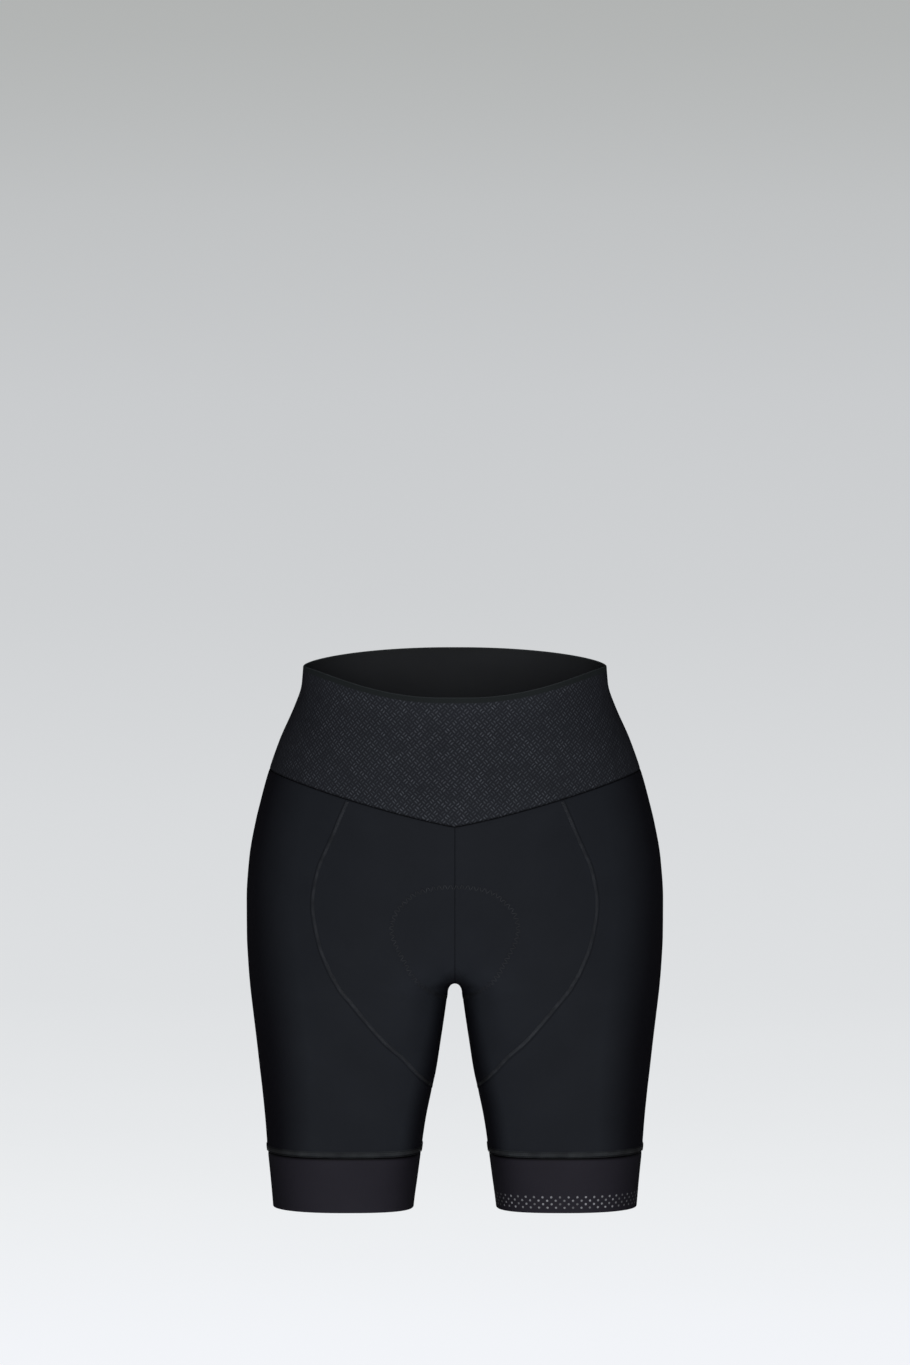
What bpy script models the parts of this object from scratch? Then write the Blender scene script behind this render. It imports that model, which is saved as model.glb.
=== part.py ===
"""Women's cycling shorts, filled out as if worn: a high knitted yoke, front and back panels
with a centre seam, a side panel round the outside of each leg, and a band at each hem.

The row frame has its origin at the middle of the waist opening, where the wearer holds the
garment up. +Z is up, the front faces -Y, and +X is the wearer's left.
"""

from collections import namedtuple
from math import pi

import bmesh
import bpy
import numpy as np

MM = 0.001

# Cloth and seams
PANEL_WALL = 1.2 * MM
YOKE_WALL = 1.8 * MM
BAND_WALL = 1.5 * MM
SEAM_GAP = 0.3 * MM
BAND_INSET = 0.4 * MM  # the hem band grips a little tighter than the leg above it

# Heights, measured from the middle of the waist opening
WAIST_SIDE = 2.5 * MM
WAIST_FRONT = -21 * MM
WAIST_BACK = 15 * MM
TURNED_HEM = 19.5 * MM  # the folded edge of the yoke, which stands straighter than the flare
HEM_FLARE = 0.2  # the share of the flare that the folded edge keeps
YOKE_SIDE = -86 * MM
YOKE_FRONT_DROP = -43 * MM
YOKE_BACK_DROP = -16 * MM
LEG_JOIN = -359 * MM  # where the front and back seams meet at the inseam
BAND_TOP = -411 * MM
HEM = -458 * MM

# One leg's half of the body as a stack of rounded sections, in millimetres. outer and inner
# are how far the section reaches from the centre plane, front and back how deep it is, and
# blend is the width over which the two halves run into each other. square is the power of the
# outline's inner side: 2 is an ellipse, more is boxier.
Section = namedtuple("Section", "height outer inner front back blend square")
SECTIONS = [Section(*row) for row in (
    (20, 117.0, -117.0, -81, 81, 0, 2.2),
    (0, 124.0, -124.0, -86, 86, 0, 2.2),
    (-17, 130.4, -130.4, -90, 90, 0, 2.2),
    (-36, 138.0, -137.0, -94, 94, 1, 2.2),
    (-61, 149.0, -146.0, -99, 99, 3, 2.2),
    (-88, 158.3, -150.0, -103, 106, 8, 2.2),
    (-112, 165.1, -145.0, -106, 112, 16, 2.2),
    (-129, 169.4, -138.0, -107, 117, 20, 2.25),
    (-163, 175.4, -114.0, -107, 124, 31, 2.35),
    (-197, 177.6, -84.0, -106, 127, 31, 2.5),
    (-228, 177.4, -52.0, -104.1, 125.0, 20, 2.7),
    (-248, 176.4, -25.0, -102.3, 120.9, 14, 2.85),
    (-258, 175.7, -10.0, -101.2, 118.0, 12, 2.9),
    (-264, 175.2, -2.0, -100.5, 116.0, 12, 2.9),
    (-268, 174.8, 3.0, -100.0, 114.6, 12, 2.9),
    (-273, 174.3, 5.4, -99.4, 112.7, 12, 2.9),
    (-279, 173.6, 6.4, -98.6, 110.3, 12, 2.9),
    (-299, 171.1, 9.3, -95.8, 102.3, 12, 2.9),
    (-316, 169.0, 11.9, -93.2, 95.9, 12, 2.9),
    (-342, 166.0, 16.0, -88.9, 87.4, 12, 2.9),
    (-359, 164.0, 19.8, -85.9, 82.6, 12, 2.9),
    (-384, 161.5, 24.9, -81.2, 76.0, 12, 2.9),
    (-408, 159.6, 28.4, -76, 69, 12, 2.9),
    (-432, 157.2, 31.6, -71, 63, 12, 2.9),
    (-456.5, 155.0, 34.9, -66, 57, 12, 2.9),
    (-470, 154.0, 36.0, -64, 54, 12, 2.9),
)]
ROUNDING = 2.2  # the power of the outline's outer side

# The seams between front, side and back panels. turn is in degrees round the leg, from the
# inseam at 0, over the front or the back at 90, to the outer side at 180.
Turn = namedtuple("Turn", "height turn")
FRONT_SEAM = [Turn(*row) for row in (
    (-90, 130.4), (-125, 131.2), (-160, 131.2), (-180, 129.6), (-199, 126.3),
    (-215, 121.8), (-232, 115.4), (-249, 106.5), (-270, 95.0), (-291, 83.8),
    (-313, 72.0), (-326, 62.2), (-340, 51.5), (-348, 41.5), (-356, 20.0), (-359, 0.0),
)]
BACK_SEAM = [Turn(*row) for row in (
    (-80, 122.0), (-125, 124.5), (-160, 126.0), (-180, 125.6), (-199, 123.5),
    (-215, 120.0), (-232, 114.5), (-249, 106.3), (-270, 95.0), (-291, 83.8),
    (-313, 72.0), (-326, 62.2), (-340, 51.5), (-348, 41.5), (-356, 20.0), (-359, 0.0),
)]

LOWER_LEG = -288 * MM  # where the side panel's columns start to run on straight down

# How finely the panels are divided
RISE_ROWS = 14  # from the yoke to the crotch
INSEAM_ROWS = 8  # from the crotch to the leg join
LEG_ROWS = 9  # from the seam to the band
BAND_ROWS = 3
YOKE_ROWS = 7
CENTRE_COLUMNS = 10  # across a front or a back panel
SIDE_COLUMNS = 27  # round a side panel and round a band
YOKE_SIDE_COLUMN = 14  # the side panel's column at which the yoke has its side seam
CENTRE_STRIP = 0.025  # the share of a panel's width taken by the narrow column at each seam
SIDE_STRIP = 0.01

CLOTH_COLOUR = (0.016, 0.017, 0.020, 1.0)
YOKE_COLOUR = (0.024, 0.025, 0.029, 1.0)
BAND_COLOUR = (0.021, 0.019, 0.023, 1.0)


def curve_through(rows, column, unit):
    """Heights, values and slopes of a smooth curve that never overshoots the rows."""
    data = sorted((row.height * MM, getattr(row, column) * unit) for row in rows)
    height, value = np.array(data).T
    step = np.diff(height)
    pitch = np.diff(value) / step
    slope = np.zeros(len(height))
    slope[0], slope[-1] = pitch[0], pitch[-1]
    for i in range(1, len(height) - 1):
        if pitch[i - 1] * pitch[i] > 0:
            before = 2 * step[i] + step[i - 1]
            after = step[i] + 2 * step[i - 1]
            slope[i] = (before + after) / (before / pitch[i - 1] + after / pitch[i])
    return height, value, slope


def read_curve(curve, z):
    """The curve's value at height z."""
    height, value, slope = curve
    z = np.clip(z, height[0], height[-1])
    i = np.clip(np.searchsorted(height, z) - 1, 0, len(height) - 2)
    step = height[i + 1] - height[i]
    t = (z - height[i]) / step
    rising = t * t * (3 - 2 * t)
    bends = t * (1 - t) ** 2 * slope[i] + t * t * (t - 1) * slope[i + 1]
    return (1 - rising) * value[i] + rising * value[i + 1] + step * bends


BODY = {name: curve_through(SECTIONS, name, MM) for name in Section._fields[1:-1]}
BODY["square"] = curve_through(SECTIONS, "square", 1)
FRONT_TURN = curve_through(FRONT_SEAM, "turn", pi / 180)
BACK_TURN = curve_through(BACK_SEAM, "turn", pi / 180)


def size(name, z):
    return read_curve(BODY[name], z)


def middle(z):
    """The middle of one leg's section, across and in depth."""
    return (size("outer", z) + size("inner", z)) / 2, (size("front", z) + size("back", z)) / 2


def leg_distance(x, y, z):
    """About how far a point is outside one leg's half of the body."""
    across, deep = middle(z)
    wide = (size("outer", z) - size("inner", z)) / 2
    thick = (size("back", z) - size("front", z)) / 2
    power = np.where(x < across, size("square", z), ROUNDING)
    sides = (np.abs(x - across) / wide) ** power + (np.abs(y - deep) / thick) ** power
    return (sides ** (1 / power) - 1) * np.minimum(wide, thick)


def body_distance(x, y, z):
    """About how far a point is outside the body, with its two halves blended."""
    one, other = leg_distance(x, y, z), leg_distance(-x, y, z)
    blend = np.maximum(size("blend", z), 1e-6)
    share = np.maximum(blend - np.abs(one - other), 0) / blend
    return np.minimum(one, other) - share**2 * blend / 4


def cross_out(distance, inside, outside):
    """Where distance turns positive on the way from inside to outside."""
    near, far = np.array(inside, float), np.array(outside, float)
    for _ in range(32):
        half_way = (near + far) / 2
        within = distance(half_way) < 0
        near, far = np.where(within, half_way, near), np.where(within, far, half_way)
    return (near + far) / 2


CROTCH = -cross_out(lambda down: body_distance(0.0, middle(-down)[1], -down), 0.2, 0.3)


def centre_line():
    """Where the centre plane meets the surface: heights up from the crotch, and the angles
    of its front and its back about the middle of the leg's section."""
    z = CROTCH + (0.03 - CROTCH) * np.linspace(0, 1, 300) ** 2
    across, deep = middle(z)
    front = cross_out(lambda y: body_distance(0.0, y, z), deep, deep - 0.2)
    back = cross_out(lambda y: body_distance(0.0, y, z), deep, deep + 0.2)
    return z, np.arctan2(front - deep, -across), np.arctan2(back - deep, -across)


CENTRE_Z, CENTRE_FRONT, CENTRE_BACK = centre_line()


def first_angle(z):
    """The angle of the centre front at height z, or of the inseam below the crotch."""
    return np.where(z > CROTCH, np.interp(z, CENTRE_Z, CENTRE_FRONT), -pi)


def last_angle(z):
    """The angle of the centre back at height z, or of the inseam below the crotch."""
    return np.where(z > CROTCH, np.interp(z, CENTRE_Z, CENTRE_BACK), pi)


def front_seam_angle(z):
    return read_curve(FRONT_TURN, z) - pi


def back_seam_angle(z):
    return pi - read_curve(BACK_TURN, z)


def skin(z, angle, inset=0.0):
    """The point of the garment's surface at a height and an angle about the leg's middle."""
    z, angle = np.broadcast_arrays(np.asarray(z, float), np.asarray(angle, float))
    across, deep = middle(z)
    c, s = np.cos(angle), np.sin(angle)
    to_centre_plane = np.where(c < -1e-9, across / np.maximum(-c, 1e-9), 0.3)
    reach = cross_out(
        lambda r: body_distance(across + r * c, deep + r * s, z) + inset,
        np.zeros(z.shape),
        np.clip(to_centre_plane, 0, 0.3),
    )
    return np.stack([across + reach * c, deep + reach * s, z], -1)


def side_share(z, angle):
    """0 at the centre front or back, 1 at the outer side."""
    return np.clip(skin(z, angle)[..., 0] / size("outer", z), 0, 1)


def waist_height(angle):
    """The height of the edge of the waist opening."""
    rounded = 1 - side_share(0.0, angle) ** 2
    front = WAIST_SIDE + (WAIST_FRONT - WAIST_SIDE) * rounded**1.35
    back = WAIST_SIDE + (WAIST_BACK - WAIST_SIDE) * rounded**0.65
    return np.where(np.asarray(angle) < 0, front, back)


def yoke_height(angle):
    """The height of the yoke's lower seam, a shallow V at the front and at the back."""
    z = np.full(np.shape(angle), YOKE_SIDE)
    drop = np.where(np.asarray(angle) < 0, YOKE_FRONT_DROP, YOKE_BACK_DROP)
    for _ in range(6):
        z = YOKE_SIDE + drop * (1 - side_share(z, angle) ** 1.12)
    return z


def yoke_point(z, angle):
    """A point of the yoke. Over the turned hem it follows only a little of the flare."""
    hem = waist_height(angle) - TURNED_HEM
    points = skin(np.where(z > hem, hem + (z - hem) * HEM_FLARE, z), angle)
    points[..., 2] = z
    return points


def heights_along(line, heights, count):
    """count + 1 of the heights, at equal lengths along the points line(heights)."""
    steps = np.linalg.norm(np.diff(line(heights), axis=0), axis=1)
    length = np.concatenate([[0], np.cumsum(steps)])
    return np.interp(np.linspace(0, length[-1], count + 1), length, heights)


def centre_heights(centre_angle):
    """Heights down a centre seam to the crotch, then down the inseam to the leg join."""
    top = yoke_height(centre_angle(YOKE_SIDE))
    fine = CROTCH + (top - CROTCH) * np.linspace(1, 0, 400) ** 2
    rise = heights_along(lambda z: skin(z, centre_angle(z)), fine, RISE_ROWS)
    inseam = CROTCH + (LEG_JOIN - CROTCH) * np.linspace(0, 1, INSEAM_ROWS + 1) ** 1.7
    return np.concatenate([rise, inseam[1:]])


def seam_heights(seam_angle):
    """Heights down a curved seam from the yoke to the leg join."""
    top = YOKE_SIDE
    for _ in range(8):
        top = float(yoke_height(seam_angle(top)))
    fine = np.linspace(top, LEG_JOIN, 400)
    return heights_along(lambda z: skin(z, seam_angle(z)), fine, RISE_ROWS + INSEAM_ROWS)


def column_shares(columns, strip):
    """Shares across a panel, with a narrow column along the seam at each side."""
    return np.concatenate([[0], np.linspace(strip, 1 - strip, columns - 1), [1]])


def panel_grid(first_z, last_z, first, last, shares):
    """Heights and angles of a panel's rows, between edges whose angles are first(z) and
    last(z). The top row follows the yoke's seam, and the rows below it level out."""
    z = first_z[:, None] + (last_z - first_z)[:, None] * shares
    angle = first(first_z)[:, None] + (last(last_z) - first(first_z))[:, None] * shares
    level = np.clip(1 - np.arange(len(first_z)) / (RISE_ROWS - 2), 0, 1) ** 2
    return z + (yoke_height(angle[0]) - z[0]) * level[:, None], angle


CENTRE_SHARES = column_shares(CENTRE_COLUMNS, CENTRE_STRIP)
SIDE_SHARES = column_shares(SIDE_COLUMNS, SIDE_STRIP)
FRONT_CENTRE_Z, BACK_CENTRE_Z = centre_heights(first_angle), centre_heights(last_angle)
FRONT_SEAM_Z, BACK_SEAM_Z = seam_heights(front_seam_angle), seam_heights(back_seam_angle)
FRONT_GRID = panel_grid(FRONT_CENTRE_Z, FRONT_SEAM_Z, first_angle, front_seam_angle, CENTRE_SHARES)
LOWER_ROW = int(np.argmin(np.abs(FRONT_SEAM_Z - LOWER_LEG)))
SIDE_GRID = panel_grid(
    FRONT_SEAM_Z[: LOWER_ROW + 1], BACK_SEAM_Z[: LOWER_ROW + 1],
    front_seam_angle, back_seam_angle, SIDE_SHARES,
)
BACK_GRID = panel_grid(BACK_SEAM_Z, BACK_CENTRE_Z, back_seam_angle, last_angle, CENTRE_SHARES)


def draw_in(edge, beside):
    """An edge of a panel drawn in by half a seam gap, towards the points beside it."""
    along = np.diff(edge, axis=0)
    along /= np.linalg.norm(along, axis=1, keepdims=True)
    toward = beside[:-1] + beside[1:] - edge[:-1] - edge[1:]
    toward -= (toward * along).sum(1, keepdims=True) * along
    toward /= np.linalg.norm(toward, axis=1, keepdims=True)
    before, after = np.vstack([toward[:1], toward]), np.vstack([toward, toward[-1:]])
    mitre = (before + after) / (1 + (before * after).sum(1, keepdims=True))
    return edge + mitre * SEAM_GAP / 2


def centre_panel(grid):
    """Points of a front or back panel of the wearer's left half, as rows from the yoke.
    It ends in a point at the leg join."""
    points = skin(*grid)
    first, last = draw_in(points[:, 0], points[:, 1]), draw_in(points[:, -1], points[:, -2])
    tip = first[-1] + last[-1] - points[-1, 0]
    points[:, 0], points[:, -1] = first, last
    points[-1] = tip
    points[0] = draw_in(points[0], points[1])
    return points


def leg_top():
    """Heights and angles round the leg where its straight columns start: from the inseam up
    the front seam, across the side panel, and down the back seam to the inseam."""
    front, back = FRONT_SEAM_Z[:LOWER_ROW:-1], BACK_SEAM_Z[LOWER_ROW + 1 :]
    z = np.concatenate([front, SIDE_GRID[0][-1], back])
    return z, np.concatenate([front_seam_angle(front), SIDE_GRID[1][-1], back_seam_angle(back)])


LEG_TOP_Z, LEG_ANGLES = leg_top()


def side_panel():
    """Points of the side panel of the wearer's left leg: a grid between the seams, and below
    it one that goes on down the leg and closes round it at the inseam."""
    upper = skin(*SIDE_GRID)
    share = np.linspace(0, 1, LEG_ROWS + 1)[:, None]
    lower = skin(LEG_TOP_Z + (BAND_TOP + SEAM_GAP / 2 - LEG_TOP_Z) * share, LEG_ANGLES)
    below = len(FRONT_SEAM_Z) - 1 - LOWER_ROW
    for upper_edge, upper_beside, top, under in (
        (upper[:, 0], upper[:, 1], lower[0, below::-1], lower[1, below::-1]),
        (upper[:, -1], upper[:, -2], lower[0, -below - 1 :], lower[1, -below - 1 :]),
    ):
        edge = np.concatenate([upper_edge, top[1:]])
        drawn = draw_in(edge, np.concatenate([upper_beside, under[1:]]))
        drawn[-1] = skin(LEG_JOIN - SEAM_GAP / 2, pi)
        upper_edge[:] = drawn[: LOWER_ROW + 1]
        top[:] = drawn[LOWER_ROW:]
    upper[0] = draw_in(upper[0], upper[1])
    return upper, lower


def leg_band():
    """Points of the wearer's left hem band, as rings from its top to the hem."""
    heights = np.linspace(BAND_TOP - SEAM_GAP / 2, HEM, BAND_ROWS + 1)
    return skin(*np.meshgrid(heights, LEG_ANGLES, indexing="ij"), BAND_INSET)


def yoke_half(is_front):
    """Points of the wearer's left half of the yoke's front or back, as rows from the waist.
    Its columns run on from those of the panels below it."""
    lower, angle = (
        np.concatenate([front[0][:-1], side[0], back[0][1:]])
        for front, side, back in zip(FRONT_GRID, SIDE_GRID, BACK_GRID)
    )
    side_seam = CENTRE_COLUMNS + YOKE_SIDE_COLUMN
    part = slice(0, side_seam + 1) if is_front else slice(side_seam, None)
    lower, angle = lower[part], angle[part]
    share = angle / np.where(angle < 0, first_angle(lower), last_angle(lower))
    upper = waist_height(angle)
    z = upper + (lower - upper) * np.linspace(0, 1, YOKE_ROWS + 1)[:, None] ** 1.15
    points = yoke_point(z, share * np.where(angle < 0, first_angle(z), last_angle(z)))
    points[-1] = draw_in(points[-1], points[-2])
    centre, side, beside = (0, -1, -2) if is_front else (-1, 0, 1)
    points[:, side] = draw_in(points[:, side], points[:, beside])
    points[:, centre, 0] = 0
    return points


def cloth_material(name, colour, roughness):
    material = bpy.data.materials.new(name)
    material.use_nodes = True
    shader = material.node_tree.nodes["Principled BSDF"]
    shader.inputs["Base Color"].default_value = colour
    shader.inputs["Roughness"].default_value = roughness
    shader.inputs["Metallic"].default_value = 0.0
    return material


def cloth(name, grids, material, wall, group, on_left=True, mirrored=False):
    """A cloth wall through one or more grids of points. Their rows run down, and the points
    of a row from front to back by the outer side, on the wearer's left. on_left False makes
    the wearer's right."""
    side = 1 if on_left else -1
    build = bmesh.new()
    for grid in grids:
        lines = [[build.verts.new((side * x, y, z)) for x, y, z in row] for row in grid]
        for upper, lower in zip(lines, lines[1:]):
            for j in range(len(upper) - 1):
                corners = (upper[j], lower[j], lower[j + 1], upper[j + 1])
                build.faces.new(corners if on_left else corners[::-1])
    bmesh.ops.remove_doubles(build, verts=build.verts, dist=0.01 * MM)
    mesh = bpy.data.meshes.new(name)
    build.to_mesh(mesh)
    build.free()
    mesh.shade_smooth()
    mesh.materials.append(material)
    piece = bpy.data.objects.new(name, mesh)
    group.objects.link(piece)
    if mirrored:
        mirror = piece.modifiers.new("other half", "MIRROR")
        mirror.merge_threshold = 0.1 * MM
    thicken = piece.modifiers.new("cloth wall", "SOLIDIFY")
    thicken.thickness = wall
    thicken.offset = -1
    return piece


def main():
    for old in list(bpy.data.objects):
        bpy.data.objects.remove(old)
    group = bpy.data.collections.new("cycling shorts")
    bpy.context.scene.collection.children.link(group)
    waist = bpy.data.objects.new("waist opening", None)
    group.objects.link(waist)

    smooth = cloth_material("smooth cloth", CLOTH_COLOUR, 0.6)
    knit = cloth_material("yoke knit", YOKE_COLOUR, 0.75)
    grip = cloth_material("band cloth", BAND_COLOUR, 0.55)

    pieces = [
        cloth("yoke_front", [yoke_half(True)], knit, YOKE_WALL, group, mirrored=True),
        cloth("yoke_back", [yoke_half(False)], knit, YOKE_WALL, group, mirrored=True),
    ]
    shapes = {
        "front_panel": ([centre_panel(FRONT_GRID)], smooth, PANEL_WALL),
        "back_panel": ([centre_panel(BACK_GRID)], smooth, PANEL_WALL),
        "side_panel": (side_panel(), smooth, PANEL_WALL),
        "leg_band": ([leg_band()], grip, BAND_WALL),
    }
    for side, on_left in (("left", True), ("right", False)):
        for name, (grids, material, wall) in shapes.items():
            pieces.append(cloth(f"{name}_{side}", grids, material, wall, group, on_left))
    for piece in pieces:
        piece.parent = waist


main()
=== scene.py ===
import math

import bpy
import numpy as np
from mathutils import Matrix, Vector
from mathutils.kdtree import KDTree


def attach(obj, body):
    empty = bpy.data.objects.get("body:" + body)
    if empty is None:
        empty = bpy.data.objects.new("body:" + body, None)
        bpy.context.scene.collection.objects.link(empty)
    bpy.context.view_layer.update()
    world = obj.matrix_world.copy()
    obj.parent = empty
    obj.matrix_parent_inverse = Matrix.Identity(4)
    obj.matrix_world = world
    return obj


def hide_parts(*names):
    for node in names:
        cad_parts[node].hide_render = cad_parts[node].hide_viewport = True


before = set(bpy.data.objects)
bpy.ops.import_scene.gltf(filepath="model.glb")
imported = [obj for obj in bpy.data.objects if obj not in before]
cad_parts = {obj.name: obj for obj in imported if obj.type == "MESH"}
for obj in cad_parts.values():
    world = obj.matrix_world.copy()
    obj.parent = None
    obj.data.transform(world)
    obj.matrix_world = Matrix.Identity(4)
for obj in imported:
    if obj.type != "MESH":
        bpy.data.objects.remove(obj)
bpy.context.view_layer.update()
print("frame loaded")

mm = 0.001
pi = math.pi

# the figure that fills the shorts, one leg's half: how far each section reaches from the
# centre plane, how deep it is, how softly the two halves run together (mm), and how square
# its inner side is (2 is an ellipse)
sectionColumns = ("height", "outer", "inner", "front", "back", "blend", "square")
sectionRows = (
    (20, 117.0, -117.0, -81, 81, 0, 2.2),
    (0, 124.0, -124.0, -86, 86, 0, 2.2),
    (-17, 130.4, -130.4, -90, 90, 0, 2.2),
    (-36, 138.0, -137.0, -94, 94, 1, 2.2),
    (-61, 149.0, -146.0, -99, 99, 3, 2.2),
    (-88, 158.3, -150.0, -103, 106, 8, 2.2),
    (-112, 165.1, -145.0, -106, 112, 16, 2.2),
    (-129, 169.4, -138.0, -107, 117, 20, 2.25),
    (-163, 175.4, -114.0, -107, 124, 31, 2.35),
    (-197, 177.6, -84.0, -106, 127, 31, 2.5),
    (-228, 177.4, -52.0, -104.1, 125.0, 20, 2.7),
    (-248, 176.4, -25.0, -102.3, 120.9, 14, 2.85),
    (-258, 175.7, -10.0, -101.2, 118.0, 12, 2.9),
    (-264, 175.2, -2.0, -100.5, 116.0, 12, 2.9),
    (-268, 174.8, 3.0, -100.0, 114.6, 12, 2.9),
    (-273, 174.3, 5.4, -99.4, 112.7, 12, 2.9),
    (-279, 173.6, 6.4, -98.6, 110.3, 12, 2.9),
    (-299, 171.1, 9.3, -95.8, 102.3, 12, 2.9),
    (-316, 169.0, 11.9, -93.2, 95.9, 12, 2.9),
    (-342, 166.0, 16.0, -88.9, 87.4, 12, 2.9),
    (-359, 164.0, 19.8, -85.9, 82.6, 12, 2.9),
    (-384, 161.5, 24.9, -81.2, 76.0, 12, 2.9),
    (-408, 159.6, 28.4, -76, 69, 12, 2.9),
    (-432, 157.2, 31.6, -71, 63, 12, 2.9),
    (-456.5, 155.0, 34.9, -66, 57, 12, 2.9),
    (-470, 154.0, 36.0, -64, 54, 12, 2.9),
)
rounding = 2.2  # the squareness of the outer side

# turn of the seams beside the side panel, in degrees from the inseam
turnColumns = ("height", "turn")
frontTurnRows = (
    (-90, 130.4), (-125, 131.2), (-160, 131.2), (-180, 129.6), (-199, 126.3),
    (-215, 121.8), (-232, 115.4), (-249, 106.5), (-270, 93.6), (-291, 83.8),
    (-313, 72.0), (-326, 62.2), (-340, 51.5), (-348, 41.5), (-356, 20.0), (-359, 0.0),
)
backTurnRows = (
    (-80, 122.0), (-125, 124.5), (-160, 126.0), (-180, 125.6), (-199, 123.5),
    (-215, 120.0), (-232, 114.5), (-249, 106.3), (-270, 95.0), (-291, 83.8),
    (-313, 72.0), (-326, 62.2), (-340, 51.5), (-348, 41.5), (-356, 20.0), (-359, 0.0),
)

cutSettings = {
    "waistSide": 2.5,  # mm, heights of the waist opening's edge
    "waistFront": -21,
    "waistBack": 15,
    "turnedHem": 19.5,  # mm, the folded edge stands straighter than the flare
    "yokeSide": -86,
    "yokeFrontDrop": -43,
    "yokeBackDrop": -16,
    "legJoin": -359,
    "lowerLeg": -288,
    "bandTop": -411,
    "hem": -458,
    "riseRows": 14,
    "inseamRows": 8,
    "meshStep": 4.6,  # mm between points of the cloth
    "bandInset": 0.0,  # mm the bands grip in from the figure
}
clothSettings = {
    "yokeWall": 1.5,  # mm
    "bodyWall": 1.0,
    "bandWall": 1.2,
    "seamDip": 0.34,  # mm the cloth is pulled in at a seam
    "seamDipReach": 1.7,
    "coverBulge": 0.55,  # mm the cover-stitched strip above each band stands out
    "coverTop": -404.4,
    "coverBottom": -410.4,
}
hemFlare = 0.2  # the share of the flare the folded edge keeps
hemBend = 2.5 * mm  # how softly the folded edge turns into the flare
counts = ("riseRows", "inseamRows")
cut = {key: value if key in counts else value * mm for key, value in cutSettings.items()}
cloth = {key: value * mm for key, value in clothSettings.items()}


def smoothCurve(rows, columns, name, unit):
    # a curve through the rows that never overshoots them
    data = sorted((row[0] * mm, row[columns.index(name)] * unit) for row in rows)
    height, value = np.array(data).T
    step = np.diff(height)
    pitch = np.diff(value) / step
    slope = np.zeros(len(height))
    slope[0], slope[-1] = pitch[0], pitch[-1]
    for i in range(1, len(height) - 1):
        if pitch[i - 1] * pitch[i] > 0:
            before, after = 2 * step[i] + step[i - 1], step[i] + 2 * step[i - 1]
            slope[i] = (before + after) / (before / pitch[i - 1] + after / pitch[i])
    return height, value, slope


def readCurve(curve, z):
    height, value, slope = curve
    z = np.clip(z, height[0], height[-1])
    i = np.clip(np.searchsorted(height, z) - 1, 0, len(height) - 2)
    step = height[i + 1] - height[i]
    t = (z - height[i]) / step
    rising = t * t * (3 - 2 * t)
    bends = t * (1 - t) ** 2 * slope[i] + t * t * (t - 1) * slope[i + 1]
    return (1 - rising) * value[i] + rising * value[i + 1] + step * bends


sectionCurves = [smoothCurve(sectionRows, sectionColumns, name, mm) for name in sectionColumns[1:-1]]
squareCurve = smoothCurve(sectionRows, sectionColumns, "square", 1)
frontTurn = smoothCurve(frontTurnRows, turnColumns, "turn", pi / 180)
backTurn = smoothCurve(backTurnRows, turnColumns, "turn", pi / 180)


def sectionAt(z):
    outer, inner, front, back, blend = (readCurve(curve, z) for curve in sectionCurves)
    middle = (outer + inner) / 2, (front + back) / 2
    half = (outer - inner) / 2, (back - front) / 2
    return *middle, *half, np.maximum(blend, 1e-6), readCurve(squareCurve, z)


def halfDistance(x, y, section):
    across, deep, wide, thick, blend, square = section
    power = np.where(x < across, square, rounding)
    ratio = (np.abs(x - across) / wide) ** power + (np.abs(y - deep) / thick) ** power
    return (ratio ** (1 / power) - 1) * np.minimum(wide, thick)


def bodyDistance(x, y, section):
    one, other = halfDistance(x, y, section), halfDistance(-x, y, section)
    share = np.maximum(1 - np.abs(one - other) / section[4], 0)
    return np.minimum(one, other) - share**2 * section[4] / 4


def crossOut(distance, inside, outside):
    near, far = np.array(inside, float), np.array(outside, float)
    for step in range(30):
        halfWay = (near + far) / 2
        within = distance(halfWay) < 0
        near, far = np.where(within, halfWay, near), np.where(within, far, halfWay)
    return (near + far) / 2


crotch = -0.268  # metres, where the legs part
centreZ = crotch + (0.03 - crotch) * np.linspace(0, 1, 400) ** 2
centreSection = sectionAt(centreZ)
centreAngles = []  # of the centre front and the centre back, about the middle of the leg
for way in (-0.2, 0.2):
    edge = crossOut(lambda y: bodyDistance(0.0, y, centreSection), centreSection[1], centreSection[1] + way)
    centreAngles.append(np.arctan2(edge - centreSection[1], -centreSection[0]))


def firstAngle(z):
    return np.where(z > crotch + 1e-6, np.interp(z, centreZ, centreAngles[0]), -pi)


def lastAngle(z):
    return np.where(z > crotch + 1e-6, np.interp(z, centreZ, centreAngles[1]), pi)


def frontSeamAngle(z):
    return readCurve(frontTurn, z) - pi


def backSeamAngle(z):
    return pi - readCurve(backTurn, z)


def skin(z, angle, inset=0.0):
    # the point of the figure's surface at a height and an angle about the leg's middle
    z, angle = np.broadcast_arrays(np.asarray(z, float), np.asarray(angle, float))
    section = sectionAt(z)
    across, deep = section[:2]
    c, s = np.cos(angle), np.sin(angle)
    limit = np.clip(np.where(c < -1e-9, across / np.maximum(-c, 1e-9), 0.3), 0, 0.3)

    def distance(reach):
        return bodyDistance(across + reach * c, deep + reach * s, section) + inset

    reach = crossOut(distance, np.zeros(z.shape), limit)
    return np.stack([across + reach * c, deep + reach * s, z], -1)


def outward(points):
    # unit normals of the figure's surface, from how the distance to it grows
    step = 0.15 * mm
    parts = []
    for axis in range(3):
        ends = []
        for sign in (1, -1):
            moved = points.copy()
            moved[..., axis] += sign * step
            ends.append(bodyDistance(moved[..., 0], moved[..., 1], sectionAt(moved[..., 2])))
        parts.append(ends[0] - ends[1])
    normal = np.stack(parts, -1)
    return normal / np.maximum(np.linalg.norm(normal, axis=-1, keepdims=True), 1e-12)


def unit(v):
    return v / np.maximum(np.linalg.norm(v, axis=-1, keepdims=True), 1e-12)


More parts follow.
